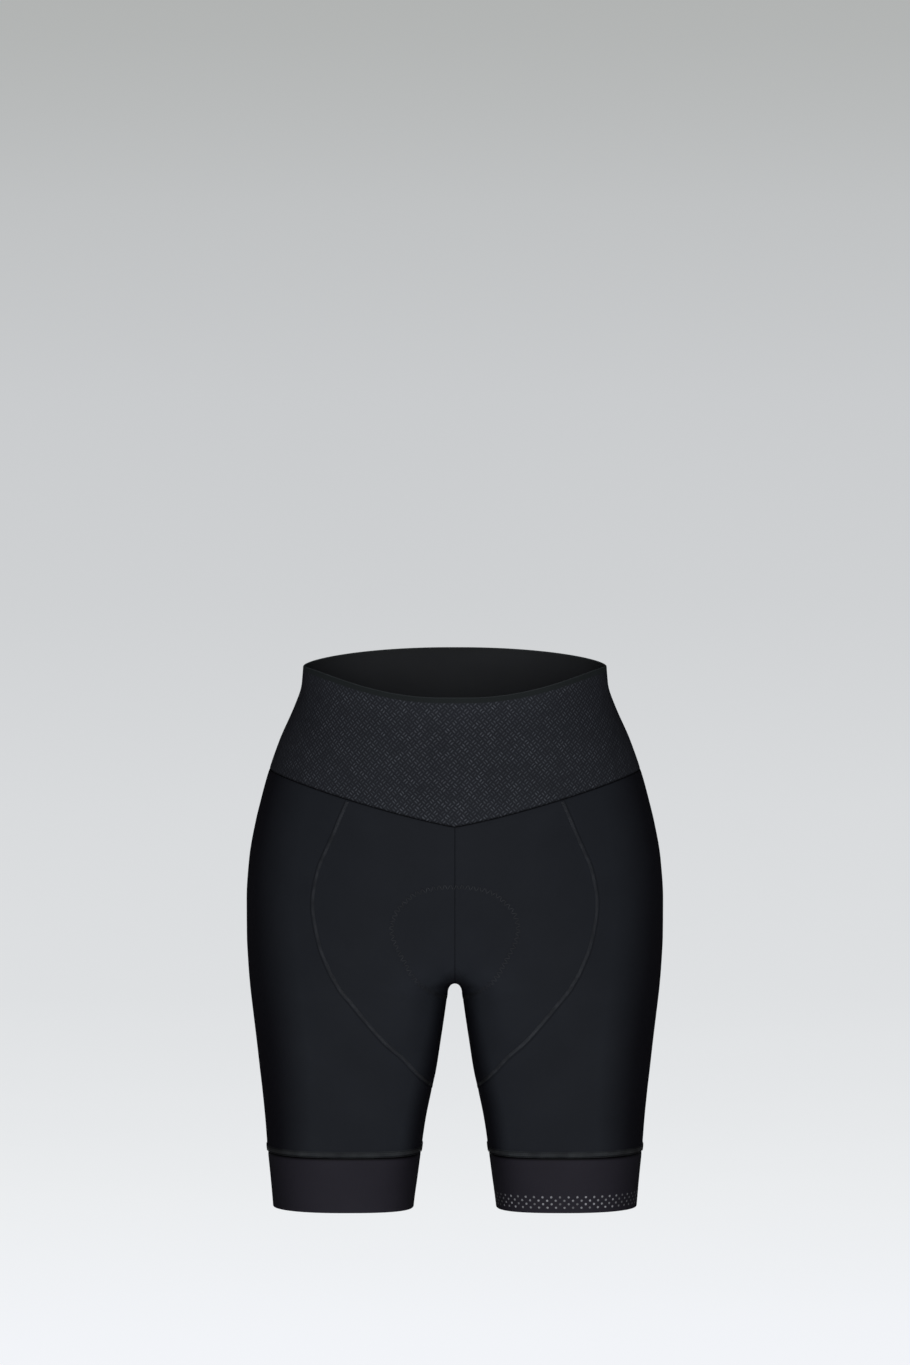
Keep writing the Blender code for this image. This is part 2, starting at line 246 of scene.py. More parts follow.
def sideShare(z, angle):
    outer = readCurve(sectionCurves[0], z)
    return np.clip(skin(z, angle)[..., 0] / outer, 0, 1)


def waistHeight(angle):
    rounded = 1 - sideShare(0.0, angle) ** 2
    front = cut["waistSide"] + (cut["waistFront"] - cut["waistSide"]) * rounded**1.35
    back = cut["waistSide"] + (cut["waistBack"] - cut["waistSide"]) * rounded**0.65
    return np.where(angle < 0, front, back)


def yokeHeight(angle):
    z = np.full(np.shape(angle), cut["yokeSide"])
    drop = np.where(angle < 0, cut["yokeFrontDrop"], cut["yokeBackDrop"])
    for step in range(6):
        z = cut["yokeSide"] + drop * (1 - sideShare(z, angle) ** 1.12)
    return z


def yokePoint(z, angle):
    hem = waistHeight(angle) - cut["turnedHem"]
    above = np.logaddexp(0, (z - hem) / hemBend) * hemBend
    points = skin(z - above * (1 - hemFlare), angle)
    points[..., 2] = z
    return points


def lengthsAlong(points):
    steps = np.linalg.norm(np.diff(points, axis=0), axis=-1)
    return np.concatenate([np.zeros((1,) + steps.shape[1:]), np.cumsum(steps, axis=0)])


def pointsAt(line, length, places):
    # points of a line at places along it, from the lengths along it of its own points
    return np.stack([np.interp(places, length, line[:, k]) for k in range(3)], -1)


def resample(line, values, count):
    # values at equal lengths along a line of points
    length = lengthsAlong(line)
    return np.interp(np.linspace(0, length[-1], count), length, values)


rowTotal = cut["riseRows"] + cut["inseamRows"]
rowSteps = 20  # steps of the tables below in every row


def centreTable(centreAngle):
    # heights of the rows at the centre seam and, below the crotch, at the inseam
    top = yokeHeight(centreAngle(np.array(cut["yokeSide"])))
    fine = crotch + (top - crotch) * np.linspace(1, 0, 500) ** 2
    rise = resample(skin(fine, centreAngle(fine)), fine, cut["riseRows"] * rowSteps + 1)
    inseam = crotch + (cut["legJoin"] - crotch) * np.linspace(0, 1, cut["inseamRows"] * rowSteps + 1) ** 1.7
    return np.concatenate([rise, inseam[1:]])


def seamTable(seamAngle):
    # heights of the rows at the seam beside the side panel
    top = cut["yokeSide"]
    for step in range(8):
        top = float(yokeHeight(seamAngle(np.array(top))))
    fine = np.linspace(top, cut["legJoin"], 900)
    return resample(skin(fine, seamAngle(fine)), fine, rowTotal * rowSteps + 1)


rowTicks = np.linspace(0, rowTotal, rowTotal * rowSteps + 1)
edgeTables = {
    "frontCentre": (centreTable(firstAngle), firstAngle),
    "frontSeam": (seamTable(frontSeamAngle), frontSeamAngle),
    "backSeam": (seamTable(backSeamAngle), backSeamAngle),
    "backCentre": (centreTable(lastAngle), lastAngle),
}


def edgeAt(name, row):
    # height and angle of a panel's edge at a row number
    table, angleOf = edgeTables[name]
    z = np.interp(row, rowTicks, table)
    return z, angleOf(z)


def panelAt(firstEdge, lastEdge, row, share):
    # heights and angles inside a panel, by row number and by share of its width
    firstZ, firstA = edgeAt(firstEdge, row)
    lastZ, lastA = edgeAt(lastEdge, row)
    z, angle = firstZ + (lastZ - firstZ) * share, firstA + (lastA - firstA) * share
    topFirstZ, topFirstA = edgeAt(firstEdge, 0)
    topLastZ, topLastA = edgeAt(lastEdge, 0)
    top = yokeHeight(topFirstA + (topLastA - topFirstA) * share)
    level = np.clip(1 - row / (cut["riseRows"] - 2), 0, 1) ** 2
    return z + (top - topFirstZ - (topLastZ - topFirstZ) * share) * level, angle


edgeSteps = np.array([0, 0.12, 0.34, 0.7, 1.3, 2.2, 3.5]) * mm  # closer points along every edge


def spread(width, count, start=True, end=True):
    # places from 0 to width, close together at the chosen ends; width may be an array
    width = np.asarray(width, float)[..., None]
    scale = np.minimum(1, width / (16 * mm))  # less where it is narrow
    first = edgeSteps * scale if start else np.zeros(1) * scale
    last = width - edgeSteps[::-1] * scale if end else width * np.ones(1)
    middle = first[..., -1:] + (last[..., :1] - first[..., -1:]) * np.linspace(0, 1, count + 1)[1:-1]
    return np.concatenate([first * np.ones_like(width), middle, last * np.ones_like(width)], -1)


def panelWidth(firstEdge, lastEdge, rows):
    share = np.linspace(0, 1, 40)
    z, angle = panelAt(firstEdge, lastEdge, rows[:, None], share)
    return lengthsAlong(np.moveaxis(skin(z, angle), 1, 0))[-1]


def panelGrid(firstEdge, lastEdge, rows):
    width = np.maximum(panelWidth(firstEdge, lastEdge, rows), 1e-5)
    count = max(6, int(np.max(width) / cut["meshStep"]))
    share = spread(width, count) / width[:, None]
    return panelAt(firstEdge, lastEdge, rows[:, None], share)


rowLength = 16.4 * mm  # from one row to the next, nearly
meshRow = 0.25  # rows between the points of the cloth
topRows = edgeSteps / rowLength
lowerRow = int(np.argmin(np.abs(edgeTables["frontSeam"][0][::rowSteps] - cut["lowerLeg"])))
centreRows = np.concatenate([topRows, np.arange(0.5, rowTotal + 0.01, meshRow)])
sideRows = np.concatenate([topRows, np.arange(0.5, lowerRow + 0.01, meshRow)])
print("cut worked out, side panel's lower row", lowerRow)

frontGrid = panelGrid("frontCentre", "frontSeam", centreRows)
backGrid = panelGrid("backSeam", "backCentre", centreRows)
sideGrid = panelGrid("frontSeam", "backSeam", sideRows)

joinRows = np.arange(rowTotal, lowerRow, -meshRow)
frontJoin = edgeAt("frontSeam", joinRows)
backJoin = edgeAt("backSeam", joinRows[::-1])
legTop = [np.concatenate([frontJoin[i], sideGrid[i][-1], backJoin[i]]) for i in range(2)]
legPlaces = spread(legTop[0] - cut["bandTop"], 24)
lowerGrid = (legTop[0][:, None] - legPlaces).T, np.broadcast_to(legTop[1], legPlaces.T.shape)
bandRows = cut["bandTop"] - spread(cut["bandTop"] - cut["hem"], 10)
bandGrid = np.meshgrid(bandRows, legTop[1], indexing="ij")

# how far round the leg each angle lies from the outer side, for the weave's direction
roundZ = np.linspace(-0.47, 0.02, 120)
roundAngle = np.linspace(-pi, pi, 181)
roundPoints = skin(*np.meshgrid(roundAngle, roundZ)[::-1])
roundLength = lengthsAlong(np.moveaxis(roundPoints, 1, 0)).T
outerSide = len(roundAngle) // 2
roundLength -= roundLength[:, outerSide : outerSide + 1]


def aroundLeg(z, angle):
    i = np.clip((z - roundZ[0]) / (roundZ[1] - roundZ[0]), 0, len(roundZ) - 1.001)
    j = np.clip((angle + pi) / (2 * pi) * (len(roundAngle) - 1), 0, len(roundAngle) - 1.001)
    i0, j0 = i.astype(int), j.astype(int)
    a, b = i - i0, j - j0
    low = roundLength[i0, j0] * (1 - b) + roundLength[i0, j0 + 1] * b
    high = roundLength[i0 + 1, j0] * (1 - b) + roundLength[i0 + 1, j0 + 1] * b
    return low * (1 - a) + high * a


def clothUv(z, angle):
    return np.stack([aroundLeg(z, angle), z], -1) / mm


def gridUv(points, fromLast=False):
    # lengths along the rows and down the columns
    u = lengthsAlong(np.moveaxis(points, 1, 0)).T
    if fromLast:
        u = u - u[:, -1:]
    v = -lengthsAlong(points)
    return np.stack([u, v], -1) / mm


def yokeHalf(isFront):
    # heights and angles of the wearer's left half of the yoke's front or back
    lowerZ = np.concatenate([frontGrid[0][0][:-1], sideGrid[0][0], backGrid[0][0][1:]])
    angle = np.concatenate([frontGrid[1][0][:-1], sideGrid[1][0], backGrid[1][0][1:]])
    sideAngle = 0.035  # the side seam, just behind the outer side
    closeSteps = np.array([1.0, 0.35, 0.08, 0.0]) * 0.012  # of the last columns before it
    part = angle < sideAngle - 0.02 if isFront else angle > sideAngle + 0.02
    extra = sideAngle - closeSteps if isFront else sideAngle + closeSteps[::-1]
    chosen = np.concatenate([angle[part], extra] if isFront else [extra, angle[part]])
    order = np.argsort(angle)
    low = np.interp(chosen, angle[order], lowerZ[order])
    share = chosen / np.where(chosen < 0, firstAngle(low), lastAngle(low))
    high = waistHeight(chosen)
    z = high - spread(high - low, 26).T
    return z, share * np.where(chosen < 0, firstAngle(z), lastAngle(z))


def edgeDistance(points, lines):
    # distance of each point to the nearest of the lines
    dense = []
    for line in lines:
        length = lengthsAlong(line)
        places = np.linspace(0, length[-1], max(2, int(length[-1] / (0.4 * mm))))
        dense.extend([line, pointsAt(line, length, places)])
    dense = np.concatenate(dense)
    tree = KDTree(len(dense))
    for i, p in enumerate(dense):
        tree.insert(p, i)
    tree.balance()
    flat = points.reshape(-1, 3)
    return np.array([tree.find(p)[2] for p in flat]).reshape(points.shape[:-1])


def roundedEdge(distance, wall):
    radius = wall / 2
    return radius - np.sqrt(np.maximum(radius**2 - np.maximum(radius - distance, 0) ** 2, 0))


def seamValley(distance):
    return cloth["seamDip"] * np.exp(-((distance / cloth["seamDipReach"]) ** 2))


# how strongly each kind of seam is pulled in and darkened with painted shade
seamStrength = {
    "centre": 0.18, "curved": 0.24, "yokeEdge": 1.1, "panelTop": 0.35, "side": 0.35, "bandJoin": 1.25,
}

# painted light and painted shade on the cloth's colour: painted light, in place of bounced light, lifts the
# cloth out of its fall into darkness down between the legs, and on the outer side values below nothing paint
# shade that deepens it
evenColumns = ("height", "between", "outside")
evenRows = (
    (20, 0.0, 0.02), (-200, 0.0, 0.02), (-235, 0.10, 0.0), (-262, 0.33, -0.03), (-300, 0.25, -0.07),
    (-340, 0.14, -0.11), (-400, 0.07, -0.11), (-470, 0.0, -0.11),
)
evenCurves = [smoothCurve(evenRows, evenColumns, name, 1) for name in evenColumns[1:]]
# how far the normal has turned where each starts and how much further it is full
evenTurns = {"downStart": 0.12, "inwardReach": 0.5, "outwardStart": 0.1, "outwardReach": 0.4}


def paintedLightAndShade(points, normals):
    between, outside = (readCurve(curve, points[:, 2]) for curve in evenCurves)
    downward = np.minimum(normals[:, 2] + evenTurns["downStart"], 0)
    inward = np.hypot(np.minimum(normals[:, 0], 0), downward) / evenTurns["inwardReach"]
    outer = (normals[:, 0] - evenTurns["outwardStart"]) / evenTurns["outwardReach"]
    return between * np.clip(inward, 0, 1) + outside * np.clip(outer, 0, 1)


def coverBulge(z):
    inside = (cloth["coverTop"] - z) / (cloth["coverTop"] - cloth["coverBottom"])
    return cloth["coverBulge"] * np.clip(np.minimum(inside, 1 - inside) * 4, 0, 1) ** 0.5


weldGap = 0.003 * mm  # points nearer than this are one
farAway = 1.0  # metres, where cloth has no such edge


def gridFaces(rows, columns, start):
    i = (np.arange(rows - 1)[:, None] * columns + np.arange(columns - 1)).ravel() + start
    return np.stack([i, i + columns, i + columns + 1, i + 1], -1)


def weld(grids):
    # the grids' points, joined where they meet, which of them each corner uses, and the quads
    surface = np.concatenate([points.reshape(-1, 3) for points, uv in grids])
    starts = np.cumsum([0] + [points.shape[0] * points.shape[1] for points, uv in grids])
    quads = [gridFaces(*points.shape[:2], start) for (points, uv), start in zip(grids, starts)]
    keys = np.round(surface / weldGap + 0.37).astype(np.int64)
    kept, welded = np.unique(keys, axis=0, return_index=True, return_inverse=True)[1:]
    return surface[kept], welded.ravel(), np.concatenate(quads)


def sewn(surface, wall, seams, rims, extra):
    # how far the cloth's edges are rounded and pulled in at each point, and what its shading reads, with the
    # painted shade in its seams
    count = len(surface)
    toRim = edgeDistance(surface, rims) if rims else np.full(count, farAway)
    rounded = roundedEdge(toRim, wall)
    toSeam, valley, paintedGrooveShade = np.full(count, farAway), np.zeros(count), np.zeros(count)
    for kind in dict(seams):
        strength = seamStrength[kind]
        distance = edgeDistance(surface, [line for other, line in seams if other == kind])
        toSeam = np.minimum(toSeam, distance)
        rounded = np.maximum(rounded, roundedEdge(distance, wall * min(1, 0.3 + 0.7 * strength)))
        valley = np.maximum(valley, strength * seamValley(distance))
        # painted shade along each seam, darkest at its groove
        reach = (0.6 + 1.3 * strength) * mm
        paintedGrooveShade = np.maximum(paintedGrooveShade, strength * np.clip(1 - (distance - 0.12 * mm) / reach, 0, 1))
    valley = valley - (extra(surface) if extra else 0)
    return rounded, valley, {"seamDistance": toSeam / mm, "rimDistance": toRim / mm, "paintedGrooveShade": paintedGrooveShade}


def wallFaces(quads, welded, count):
    # faces of the outer wall, of the inner wall, whose points follow the outer ones, and of the
    # edges between them; each with the grid points that its corners take their cloth place from
    faces, places, sides = [], [], {}
    for quad in quads:
        corners = [(int(welded[k]), k) for k in quad]
        corners = [corner for i, corner in enumerate(corners) if corner[0] != corners[i - 1][0]]
        if len(corners) < 3 or len({corner[0] for corner in corners}) < len(corners):
            continue
        faces.append([v for v, k in corners])
        places.append([k for v, k in corners])
        for i, (v, k) in enumerate(corners):
            sides[(corners[i - 1][0], v)] = (corners[i - 1][1], k)
    openSides = [(edge, ks) for edge, ks in sides.items() if (edge[1], edge[0]) not in sides]
    inside = [[v + count for v in reversed(face)] for face in faces]
    edges = [[b, a, a + count, b + count] for (a, b), ks in openSides]
    edgePlaces = [[ks[1], ks[0], ks[0], ks[1]] for edge, ks in openSides]
    return faces + inside + edges, places + [place[::-1] for place in places] + edgePlaces


def shell(name, grids, wall, seams, rims, material, mirrored=False, extra=None):
    # a thin closed wall on grids of surface points, with every edge rounded over; seams holds
    # pairs of a kind of seam and its line
    surface, welded, quads = weld(grids)
    normals = outward(surface)
    rounded, valley, labels = sewn(surface, wall, seams, rims, extra)
    labels["paintedLightAndShade"] = paintedLightAndShade(surface, normals)
    outer = surface - normals * (rounded + valley)[:, None]
    inner = surface - normals * (wall - rounded * 0.5 + valley * 0.8)[:, None]
    faces, places = wallFaces(quads, welded, len(surface))
    vertices = np.concatenate([outer, inner])
    if mirrored:
        vertices = vertices * (-1, 1, 1)
        faces, places = [face[::-1] for face in faces], [place[::-1] for place in places]
    mesh = bpy.data.meshes.new(name)
    mesh.from_pydata(vertices.tolist(), [], faces)
    uvs = np.concatenate([uv.reshape(-1, 2) for points, uv in grids])
    uvLayer = mesh.uv_layers.new(name="cloth")
    uvLayer.data.foreach_set("uv", uvs[np.concatenate(places)].astype(np.float32).ravel())
    values = {label: np.tile(value, 2) for label, value in labels.items()}
    values["innerSide"] = np.repeat((0.0, 1.0), len(surface))
    for label, value in values.items():
        attribute = mesh.attributes.new(label, "FLOAT", "POINT")
        attribute.data.foreach_set("value", value.astype(np.float32))
    mesh.shade_smooth()
    mesh.materials.append(material)
    piece = bpy.data.objects.new(name, mesh)
    bpy.context.collection.objects.link(piece)
    return piece


# small helpers for shader and geometry trees
def addNode(tree, kind, inputs=None, **settings):
    node = tree.nodes.new(kind)
    for key, value in settings.items():
        setattr(node, key, value)
    for key, value in (inputs or {}).items():
        socket = node.inputs[key]
        if isinstance(value, bpy.types.NodeSocket):
            tree.links.new(value, socket)
        else:
            socket.default_value = value
    return node


def maths(tree, operation, *values, clamp=False):
    node = addNode(tree, "ShaderNodeMath", dict(enumerate(values)), operation=operation)
    node.use_clamp = clamp
    return node.outputs[0]


def multiply(tree, *values):
    product = values[0]
    for value in values[1:]:
        product = maths(tree, "MULTIPLY", product, value)
    return product


def mapRange(tree, value, lowest, highest, low=0.0, high=1.0):
    # a value between lowest and highest, turned into one between low and high
    ends = {"From Min": lowest, "From Max": highest, "To Min": low, "To Max": high}
    return addNode(tree, "ShaderNodeMapRange", {"Value": value, **ends}).outputs[0]


def noise(tree, place, scale, detail):
    values = {"Vector": place, "Scale": scale, "Detail": detail}
    return addNode(tree, "ShaderNodeTexNoise", values).outputs["Fac"]


def readAttribute(tree, name, output="Fac"):
    return addNode(tree, "ShaderNodeAttribute", attribute_name=name).outputs[output]


def mixValue(tree, factor, first, second):
    return addNode(tree, "ShaderNodeMix", {0: factor, 2: first, 3: second}, data_type="FLOAT").outputs[0]


def mixColour(tree, factor, first, second, blend="MIX"):
    inputs = {0: factor, 6: first, 7: second}
    return addNode(tree, "ShaderNodeMix", inputs, data_type="RGBA", blend_type=blend).outputs[2]


def shaded(tree, colour, value):
    # a colour multiplied by a value
    grey = addNode(tree, "ShaderNodeCombineColor", {0: value, 1: value, 2: value}).outputs[0]
    return mixColour(tree, 1.0, colour, grey, "MULTIPLY")


def nodeGroup(name, kind, inputs, outputs):
    tree = bpy.data.node_groups.new(name, kind)
    for label, socket, value in inputs:
        item = tree.interface.new_socket(label, in_out="INPUT", socket_type=socket)
        if value is not None:
            item.default_value = value
    for label, socket in outputs:
        tree.interface.new_socket(label, in_out="OUTPUT", socket_type=socket)
    return tree, tree.nodes.new("NodeGroupInput").outputs, tree.nodes.new("NodeGroupOutput").inputs


def fineKnit():
    # fine ribs and courses from the cloth's own coordinates in mm
    tree, given, made = nodeGroup(
        "fineKnit", "ShaderNodeTree",
        [("Cloth", "NodeSocketVector", None), ("Wale", "NodeSocketFloat", 0.55),
         ("Course", "NodeSocketFloat", 0.45)],
        [("Height", "NodeSocketFloat"), ("Fibre", "NodeSocketFloat")],
    )
    place = addNode(tree, "ShaderNodeSeparateXYZ", {0: given["Cloth"]}).outputs
    waleTurn = multiply(tree, maths(tree, "DIVIDE", place[0], given["Wale"]), 2 * pi)
    courseTurn = multiply(tree, maths(tree, "DIVIDE", place[1], given["Course"]), 2 * pi)
    wale = maths(tree, "ABSOLUTE", maths(tree, "SINE", multiply(tree, waleTurn, 0.5)))
    lean = multiply(tree, maths(tree, "SINE", waleTurn), 1.2)
    course = maths(tree, "SINE", maths(tree, "ADD", courseTurn, lean))
    course = maths(tree, "MULTIPLY_ADD", course, 0.35, 0.5)
    fibre = {"Vector": given["Cloth"], "Scale": 1.6, "Detail": 4.0, "Roughness": 0.65}
    tree.links.new(multiply(tree, wale, course), made["Height"])
    tree.links.new(addNode(tree, "ShaderNodeTexNoise", fibre).outputs["Fac"], made["Fibre"])
    return tree


def basketWeave():
    # cells of short floats, turned 45 degrees, that change direction like a chequerboard
    tree, given, made = nodeGroup(
        "basketWeave", "ShaderNodeTree",
        [("Cloth", "NodeSocketVector", None), ("Cell", "NodeSocketFloat", 4.6),
         ("Floats", "NodeSocketFloat", 2.0)],
        [("Stroke", "NodeSocketFloat"), ("Height", "NodeSocketFloat")],
    )
    wobble = {"Vector": given["Cloth"], "Scale": 0.35, "Detail": 2.0}
    wobble = addNode(tree, "ShaderNodeTexNoise", wobble).outputs["Color"]
    shift = addNode(tree, "ShaderNodeVectorMath", {0: wobble, 1: (0.5, 0.5, 0.5)}, operation="SUBTRACT")
    shifted = {0: shift.outputs[0], 1: (0.9, 0.9, 0.0), 2: given["Cloth"]}
    shifted = addNode(tree, "ShaderNodeVectorMath", shifted, operation="MULTIPLY_ADD").outputs[0]
    turned = {"Vector": shifted, "Angle": pi / 4}
    turned = addNode(tree, "ShaderNodeVectorRotate", turned, rotation_type="Z_AXIS").outputs[0]
    place = addNode(tree, "ShaderNodeSeparateXYZ", {0: turned}).outputs
    cells = [maths(tree, "DIVIDE", place[axis], given["Cell"]) for axis in range(2)]
    numbers = [maths(tree, "FLOOR", cell) for cell in cells]
    within = [maths(tree, "FRACT", cell) for cell in cells]
    odd = maths(tree, "FLOORED_MODULO", maths(tree, "ADD", *numbers), 2.0)
    acrossFloat = mixValue(tree, odd, within[0], within[1])
    alongFloat = mixValue(tree, odd, within[1], within[0])
    ridge = maths(tree, "SINE", multiply(tree, acrossFloat, given["Floats"], pi))
    crown = maths(tree, "SINE", multiply(tree, alongFloat, pi))
    crown = maths(tree, "POWER", maths(tree, "MAXIMUM", crown, 0.0), 0.45)
    height = multiply(tree, maths(tree, "ABSOLUTE", ridge), crown)
    cell = {"Vector": addNode(tree, "ShaderNodeCombineXYZ", dict(enumerate(numbers))).outputs[0]}
    chance = addNode(tree, "ShaderNodeTexWhiteNoise", cell, noise_dimensions="3D").outputs["Value"]
    chance = maths(tree, "MULTIPLY_ADD", chance, 0.6, 0.4)
    stroke = multiply(tree, mapRange(tree, height, 0.58, 0.95), chance)
    tree.links.new(stroke, made["Stroke"])
    tree.links.new(height, made["Height"])
    return tree


knitTree = fineKnit()
basketTree = basketWeave()

# colours are linear; each cloth's second colour is painted shade, the colour it is darkened to where it
# turns away from the eye
lookSettings = {
    "body": {
        "colour": (0.0128, 0.0143, 0.0177), "paintedEdgeShade": (0.0023, 0.0019, 0.0032),
        "roughness": 0.60, "specular": 0.04, "evened": True,
    },
    "yoke": {
        "colour": (0.0154, 0.0168, 0.0205), "paintedEdgeShade": (0.0100, 0.0100, 0.0124),
        "stroke": (0.066, 0.072, 0.083), "roughness": 0.74, "specular": 0.05,
        # rim is a painted highlight along the yoke's rounded top edge
        "strip": (0.0125, 0.0146, 0.0152), "stripWidth": 4.8, "rim": (0.034, 0.038, 0.040),
    },
    "band": {
        "colour": (0.0174, 0.0160, 0.0215), "paintedEdgeShade": (0.0012, 0.0008, 0.0018),
        "roughness": 0.52, "specular": 0.06,
    },
    "inside": (0.0235, 0.0245, 0.0262),
    "thread": {"colour": (0.0335, 0.0362, 0.0415), "roughness": 0.55},
    "pad": {"colour": (0.0290, 0.0317, 0.0372), "roughness": 0.55},
    "cover": {"colour": (0.040, 0.044, 0.045), "roughness": 0.6},
    "dot": {"colour": (0.187, 0.187, 0.200), "roughness": 0.5},
}

# how far painted shade darkens the body's cloth from facing the eye (0) to its edges (1), as a share of the
# way from its colour to its painted edge-shade colour
fadeColumns = ("facing", "share")
fadeRows = (
    (0.00, 0.10), (0.09, 0.06), (0.19, 0.00), (0.285, 0.16), (0.37, 0.36), (0.456, 0.54), (0.532, 0.69),
    (0.592, 0.80), (0.666, 0.86), (0.83, 0.96), (1.00, 1.00),
)


def newMaterial(name):
    material = bpy.data.materials.new(name)
    material.use_nodes = True
    return material, material.node_tree, material.node_tree.nodes["Principled BSDF"].inputs


def fadeCurve(tree, facing):
    ramp = addNode(tree, "ShaderNodeValToRGB", {"Fac": facing})
    stops = ramp.color_ramp.elements
    while len(stops) < len(fadeRows):
        stops.new(0.5)
    for stop, row in zip(stops, fadeRows):
        share = row[fadeColumns.index("share")]
        stop.position = row[fadeColumns.index("facing")]
        stop.color = (share, share, share, 1)
    return ramp.outputs["Color"]


def clothMaterial(name, look, isYoke=False):
    material, tree, shader = newMaterial(name)
    uv = addNode(tree, "ShaderNodeUVMap", uv_map="cloth").outputs[0]
    inner = readAttribute(tree, "innerSide")
    outer = maths(tree, "SUBTRACT", 1.0, inner, clamp=True)
    knit = addNode(tree, "ShaderNodeGroup", node_tree=knitTree)
    tree.links.new(uv, knit.inputs["Cloth"])
    fibre = knit.outputs["Fibre"]
    facing = addNode(tree, "ShaderNodeLayerWeight", {"Blend": 0.5}).outputs["Facing"]
    turnedTo = maths(tree, "SUBTRACT", 1.0, facing, clamp=True)
    shade = maths(tree, "MULTIPLY_ADD", maths(tree, "SUBTRACT", fibre, 0.5), 0.5, 1.0)
    fading = facing
    # painted light between the legs lifts the colour and holds back the painted edge shade; painted shade on
    # the outer side deepens it
    if look.get("evened"):
        even = readAttribute(tree, "paintedLightAndShade")
        fading = fadeCurve(tree, maths(tree, "SUBTRACT", facing, even, clamp=True))
        shade = multiply(tree, shade, maths(tree, "ADD", maths(tree, "MAXIMUM", even, 0.0), 1.0))
    # painted shade: the colour darkens towards the edges that turn away from the eye
    colour = mixColour(tree, fading, (*look["colour"], 1), (*look["paintedEdgeShade"], 1))
    patch = noise(tree, uv, 0.02, 3.0)
    shade = multiply(tree, shade, maths(tree, "MULTIPLY_ADD", patch, 0.3, 0.85))
    height = multiply(tree, knit.outputs["Height"], 0.045)
    lining = multiply(tree, inner, 0.8)
    if isYoke:
        basket = addNode(tree, "ShaderNodeGroup", node_tree=basketTree)
        tree.links.new(uv, basket.inputs["Cloth"])
        glint = mapRange(tree, noise(tree, uv, 0.12, 3.0), 0.3, 0.68, 0.35, 1.0)
        # the weave's strokes, varied in patches, also fade with painted shade where the cloth turns from the
        # eye
        amount = multiply(tree, basket.outputs["Stroke"], glint, outer, turnedTo)
        rim = readAttribute(tree, "rimDistance")
        knitted = mapRange(tree, rim, look["stripWidth"] - 0.3, look["stripWidth"] + 0.5)
        # painted highlight: lighter colour along the rounded top edge
        edge = mapRange(tree, rim, 0.35, 0.95, 1.0, 0.0)
        colour = mixColour(tree, amount, colour, (*look["stroke"], 1))
        colour = mixColour(tree, knitted, (*look["strip"], 1), colour)
        colour = mixColour(tree, edge, colour, (*look["rim"], 1))
        relief = multiply(tree, basket.outputs["Height"], outer, knitted, 0.22)
        height = maths(tree, "ADD", height, relief)
        lining = multiply(tree, lining, mapRange(tree, rim, 0.3, 1.0))  # starts behind the rim
    near = mapRange(tree, readAttribute(tree, "seamDistance"), 0.5, 9.0, 1.0, 0.0)
    pucker = multiply(tree, noise(tree, uv, 0.22, 2.0), near, 0.5)
    height = maths(tree, "ADD", height, pucker)
    # painted shade: the colour is darkened in the seams' grooves
    paintedGrooveShade = mapRange(tree, readAttribute(tree, "paintedGrooveShade"), 0.0, 1.0, 1.0, 0.22)
    colour = mixColour(tree, lining, colour, (*lookSettings["inside"], 1))
    colour = shaded(tree, shaded(tree, colour, shade), paintedGrooveShade)
    tree.links.new(colour, shader["Base Color"])
    rough = maths(tree, "MULTIPLY_ADD", fibre, 0.16, look["roughness"] - 0.08)
    tree.links.new(rough, shader["Roughness"])
    tree.links.new(multiply(tree, turnedTo, look["specular"]), shader["Specular IOR Level"])
    bump = addNode(tree, "ShaderNodeBump", {"Height": height, "Strength": 1.0, "Distance": 0.001})
    tree.links.new(bump.outputs[0], shader["Normal"])
    return material


def threadMaterial(name, look):
    # threads are patchy, and painted shade darkens them where the cloth under them turns away from the eye
    material, tree, shader = newMaterial(name)
    place = addNode(tree, "ShaderNodeTexCoord").outputs["Object"]
    twist = noise(tree, place, 900.0, 3.0)
    worn = mapRange(tree, noise(tree, place, 110.0, 2.0), 0.35, 0.65, 0.52, 1.26)
    lies = readAttribute(tree, "out", "Vector")
    facing = addNode(tree, "ShaderNodeLayerWeight", {"Blend": 0.5, "Normal": lies}).outputs["Facing"]
    # painted shade on threads and printed dots where the cloth turns from the eye
    turned = mapRange(tree, facing, 0.22, 0.62, 0.96, 0.15)
    shade = multiply(tree, maths(tree, "MULTIPLY_ADD", twist, 0.7, 0.65), multiply(tree, worn, turned))
    tree.links.new(shaded(tree, (*look["colour"], 1), shade), shader["Base Color"])
    shader["Roughness"].default_value = look["roughness"]
    shader["Specular IOR Level"].default_value = 0.35
    bump = addNode(tree, "ShaderNodeBump", {"Height": twist, "Strength": 0.4, "Distance": 0.0002})
    tree.links.new(bump.outputs[0], shader["Normal"])
    return material


bodyCloth = clothMaterial("smooth cloth", lookSettings["body"])
yokeCloth = clothMaterial("yoke knit", lookSettings["yoke"], isYoke=True)
bandCloth = clothMaterial("band cloth", lookSettings["band"])
seamThread = threadMaterial("seam thread", lookSettings["thread"])
coverThread = threadMaterial("cover thread", lookSettings["cover"])
padThread = threadMaterial("pad thread", lookSettings["pad"])
dotPrint = threadMaterial("dot print", lookSettings["dot"])
print("materials made")

